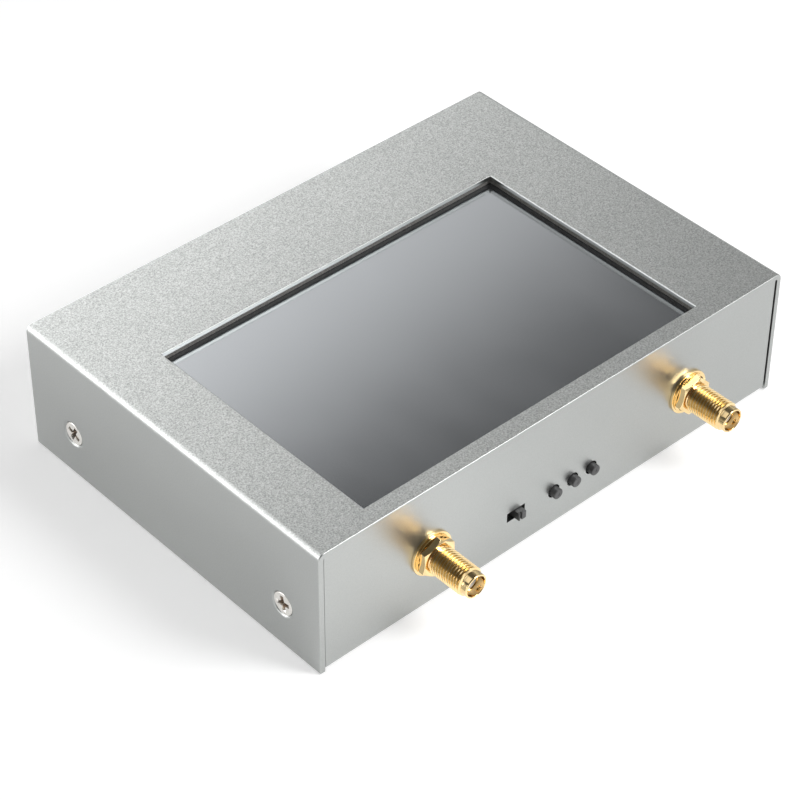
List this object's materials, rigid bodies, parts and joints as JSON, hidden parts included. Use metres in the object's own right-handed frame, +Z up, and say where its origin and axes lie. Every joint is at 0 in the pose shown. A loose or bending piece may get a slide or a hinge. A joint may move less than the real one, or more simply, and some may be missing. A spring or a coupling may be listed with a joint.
{
  "type": "antenna analyzer",
  "caption": "Portable antenna analyzer: folded sheet-metal case with a touch screen on top, threaded coaxial ports, a slide switch and push buttons on the front panel.",
  "frame": {"origin": "centre of the case on the underside of its bottom plate, half way along its width and depth; the connectors' reach isn't counted", "axes": "+X along the case's width, to the right of someone who faces the connector panel; +Y from the connector panel to the back; +Z up, out of the screen"},
  "size_m": [0.126, 0.1023, 0.031],
  "materials": {
    "case_sheet": "bead-blasted and clear anodised",
    "plated_steel": "nickel plated",
    "plain_brass": "turned, bare",
    "gold_plate": "gold plated, satin",
    "board": "solder mask over glass fibre",
    "grey_foam": "matt foam",
    "white_tape": "matt",
    "screen_glass": "smooth film over glass",
    "display_glass": "smooth polariser film",
    "white_plastic": "moulded",
    "cream_plastic": "moulded",
    "black_plastic": "moulded",
    "grey_plastic": "moulded",
    "ribbon_film": "polyimide film",
    "red_lead": "extruded insulation",
    "foil": "laminated foil pouch",
    "passive_body": "fired"
  },
  "bodies": {
    "case": {"top_cover": "case_sheet", "bottom_chassis": "case_sheet", "clinch_nuts": "plated_steel", "case_screws": "plated_steel", "base_screws": "plated_steel", "lower_standoffs": "plain_brass", "upper_standoffs": "plain_brass", "display_screws": "plated_steel", "main_board": "board", "display_board": "board", "display_gasket": "grey_foam", "touch_panel": "screen_glass", "lcd_glass": "display_glass", "light_guide": "white_plastic", "backlight_tray": "white_plastic", "display_tape": "white_tape", "display_ribbon": "ribbon_film", "ribbon_connector": "cream_plastic", "touch_ribbon": "ribbon_film", "touch_connector": "cream_plastic", "board_socket": "black_plastic", "board_header": "black_plastic", "header_pins": "gold_plate", "sma_body_left": "gold_plate", "sma_body_right": "gold_plate", "sma_insulators": "white_plastic", "sma_contacts": "gold_plate", "sma_flat_washers": "gold_plate", "sma_lock_washers": "gold_plate", "sma_nuts": "gold_plate", "power_switch_base": "black_plastic", "power_switch_frame": "plated_steel", "power_switch_terminals": "plated_steel", "button_base_left": "black_plastic", "button_base_middle": "black_plastic", "button_base_right": "black_plastic", "button_covers": "plated_steel", "button_domes": "plated_steel", "button_terminals": "plated_steel", "battery_cell": "foil", "battery_board": "board", "battery_tape": "white_tape", "battery_lead_red": "red_lead", "battery_lead_black": "black_plastic", "battery_plug": "white_plastic", "battery_socket": "cream_plastic", "usb_shell": "plated_steel", "usb_tongue": "black_plastic", "shield_cans": "plated_steel", "processor_chip": "black_plastic", "rf_chips": "black_plastic", "support_chips": "black_plastic", "passives": "passive_body", "crystal": "plated_steel"},
    "switch_lever": {"power_switch_lever": "grey_plastic", "power_switch_wiper": "plain_brass"},
    "left_button": {"button_stem_left": "grey_plastic"},
    "middle_button": {"button_stem_middle": "grey_plastic"},
    "right_button": {"button_stem_right": "grey_plastic"}
  },
  "joints": [
    {"name": "power_switch_slide", "type": "slide", "parent": "case", "child": "switch_lever", "axis": [1, 0, 0], "range_m": [-0.0015, 0]},
    {"name": "left_button_press", "type": "slide", "parent": "case", "child": "left_button", "axis": [0, 1, 0], "range_m": [0, 0.00025], "stiffness_N_per_m": 1000, "springref_m": -0.0006},
    {"name": "middle_button_press", "type": "slide", "parent": "case", "child": "middle_button", "axis": [0, 1, 0], "range_m": [0, 0.00025], "stiffness_N_per_m": 1000, "springref_m": -0.0006},
    {"name": "right_button_press", "type": "slide", "parent": "case", "child": "right_button", "axis": [0, 1, 0], "range_m": [0, 0.00025], "stiffness_N_per_m": 1000, "springref_m": -0.0006}
  ]
}
